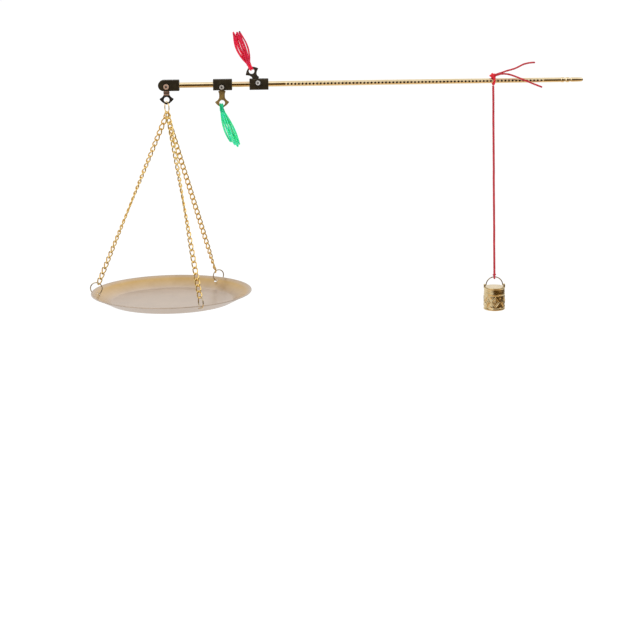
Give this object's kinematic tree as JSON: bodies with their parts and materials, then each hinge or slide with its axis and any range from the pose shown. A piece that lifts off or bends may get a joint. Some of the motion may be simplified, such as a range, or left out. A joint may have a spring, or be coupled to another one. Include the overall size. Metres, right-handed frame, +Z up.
{
  "type": "steelyard",
  "caption": "Small hand steelyard: a marked metal rod with fulcrum hangers, a shallow round pan on curb chains, and a square-shouldered poise hung on a cord.",
  "frame": {"origin": "centre of the far fulcrum's hollow pin, the one nearer the poise, at the middle of the beam's depth", "axes": "+X along the beam towards its turned tip, +Y away from the face with the fine marks, +Z up"},
  "size_m": [0.3755, 0.1218, 0.2146],
  "materials": {
    "gold": "polished gold plating",
    "bronze": "dark antique bronze with worn bright edges",
    "antique_brass": "antique brass",
    "copper": "bare copper",
    "silver": "bright plated",
    "pan_metal": "satin, pale pinkish brass",
    "green_thread": "silky twisted thread",
    "crimson_thread": "silky twisted thread",
    "red_cord": "braided cord"
  },
  "bodies": {
    "beam": {"beam_rod": "gold", "end_block": "bronze", "near_block": "bronze", "far_block": "bronze", "end_rivet": "copper", "near_rivet": "silver", "far_rivet": "silver"},
    "pan_hook": {"pan_hanger": "bronze"},
    "ring": {"top_ring": "gold"},
    "pan_set": {"chain_left": "gold", "chain_front": "gold", "chain_back": "gold", "rim_ring_left": "gold", "rim_ring_front": "gold", "rim_ring_back": "gold", "pan": "pan_metal"},
    "near_lift": {"near_hanger": "antique_brass", "near_knot": "green_thread", "near_tassel": "green_thread"},
    "far_lift": {"far_hanger": "bronze", "far_knot": "crimson_thread", "far_tassel": "crimson_thread"},
    "slider": {"cord_hitch": "red_cord", "cord_tail_upper": "red_cord", "cord_tail_lower": "red_cord"},
    "cord": {"poise_cord": "red_cord", "bail_tie": "red_cord"},
    "bail": {"poise_bail": "gold"},
    "poise": {"poise_body": "gold"}
  },
  "joints": [
    {"name": "pan_hanger_pivot", "type": "hinge", "parent": "beam", "child": "pan_hook", "pos_m": [-0.0685, 0, -0.002], "axis": [0, 1, 0], "range_deg": [-15, 195]},
    {"name": "ring_turn", "type": "hinge", "parent": "pan_hook", "child": "ring", "pos_m": [-0.0685, 0, -0.01775], "axis": [0.9136, 0.4067, 0], "range_deg": [-25, 25]},
    {"name": "pan_swing", "type": "hinge", "parent": "ring", "child": "pan_set", "pos_m": [-0.0685, 0, -0.0222], "axis": [0.4067, -0.9136, 0], "range_deg": [-15, 15]},
    {"name": "near_hanger_pivot", "type": "hinge", "parent": "beam", "child": "near_lift", "pos_m": [-0.0271, 0, -0.0029], "axis": [0, 1, 0], "range_deg": [-30, 30]},
    {"name": "far_hanger_pivot", "type": "hinge", "parent": "beam", "child": "far_lift", "pos_m": [0, 0, 0], "axis": [0, 1, 0], "range_deg": [0, 56]},
    {"name": "poise_slide", "type": "slide", "parent": "beam", "child": "slider", "axis": [1, 0, 0], "range_m": [-0.1537, 0.0363]},
    {"name": "poise_swing", "type": "hinge", "parent": "slider", "child": "cord", "pos_m": [0.1767, 0, -0.0045], "axis": [0, 1, 0], "range_deg": [-25, 25]},
    {"name": "bail_swing", "type": "hinge", "parent": "cord", "child": "bail", "pos_m": [0.1782, 0, -0.15135], "axis": [1, 0, 0], "range_deg": [-25, 25]},
    {"name": "poise_tip", "type": "hinge", "parent": "bail", "child": "poise", "pos_m": [0.1782, 0, -0.1577], "axis": [1, 0, 0], "range_deg": [-75, 75]}
  ]
}
